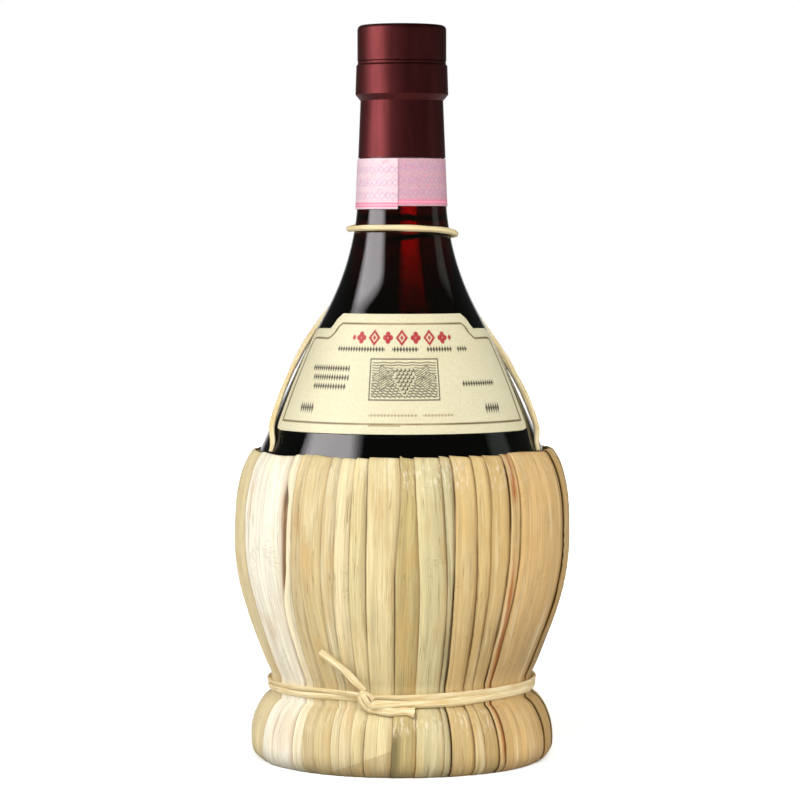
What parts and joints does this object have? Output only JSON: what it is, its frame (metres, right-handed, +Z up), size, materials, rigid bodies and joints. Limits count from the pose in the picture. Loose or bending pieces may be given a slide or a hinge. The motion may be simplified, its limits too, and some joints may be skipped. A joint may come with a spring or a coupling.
{
  "type": "chianti fiasco bottle",
  "caption": "Round-bottomed wine flask with a cork and capsule, in a tied basket of wide husk strips on a straw foot, with a raffia cord round its neck.",
  "frame": {"origin": "centre of the flat base, on the flask's axis, at the height of the table", "axes": "+Z up the flask's axis, -Y towards the front with the label and the knot, +X to the viewer's right"},
  "size_m": [0.1094, 0.1094, 0.2368],
  "materials": {
    "glass": "clear, dark green",
    "wine": "clear dark red liquid",
    "cork": "cut natural cork",
    "capsule": "satin shrunk film, dark wine red",
    "strip_paper": "fine pink security pattern",
    "label_paper": "uncoated cream paper with brown and gold print",
    "raffia": "twisted dry raffia",
    "cane": "peeled cane",
    "husk": "dry fibrous husk leaf"
  },
  "bodies": {
    "bottle": {"flask": "glass", "wine": "wine", "capsule_skirt": "capsule", "neck_strip": "strip_paper", "front_label": "label_paper", "carry_cord": "raffia", "rim_hoop": "cane", "basket_lining": "husk", "base_ring": "husk", "base_disc": "husk", "waist_tie": "raffia", "tie_knot": "raffia", "tie_tail_up": "raffia", "tie_tail_side": "raffia", "strip_01": "husk", "strip_02": "husk", "strip_03": "husk", "strip_04": "husk", "strip_05": "husk", "strip_06": "husk", "strip_07": "husk", "strip_08": "husk", "strip_09": "husk", "strip_10": "husk", "strip_11": "husk", "strip_12": "husk", "strip_13": "husk", "strip_14": "husk", "strip_15": "husk", "strip_16": "husk", "strip_17": "husk", "strip_18": "husk", "strip_19": "husk", "strip_20": "husk", "strip_21": "husk", "strip_22": "husk", "strip_23": "husk", "strip_24": "husk", "strip_25": "husk", "strip_26": "husk", "strip_27": "husk", "strip_28": "husk", "strip_29": "husk", "strip_30": "husk", "strip_31": "husk", "strip_32": "husk", "strip_33": "husk", "strip_34": "husk", "strip_35": "husk", "strip_36": "husk"},
    "cork": {"cork": "cork"},
    "capsule": {"capsule_top": "capsule", "capsule_disc": "capsule"}
  },
  "joints": [
    {"name": "cork_pull", "type": "slide", "parent": "bottle", "child": "cork", "axis": [0, 0, 1], "range_m": [0, 0.05]},
    {"name": "capsule_lift", "type": "slide", "parent": "cork", "child": "capsule", "axis": [0, 0, 1], "range_m": [0, 0.03]}
  ]
}
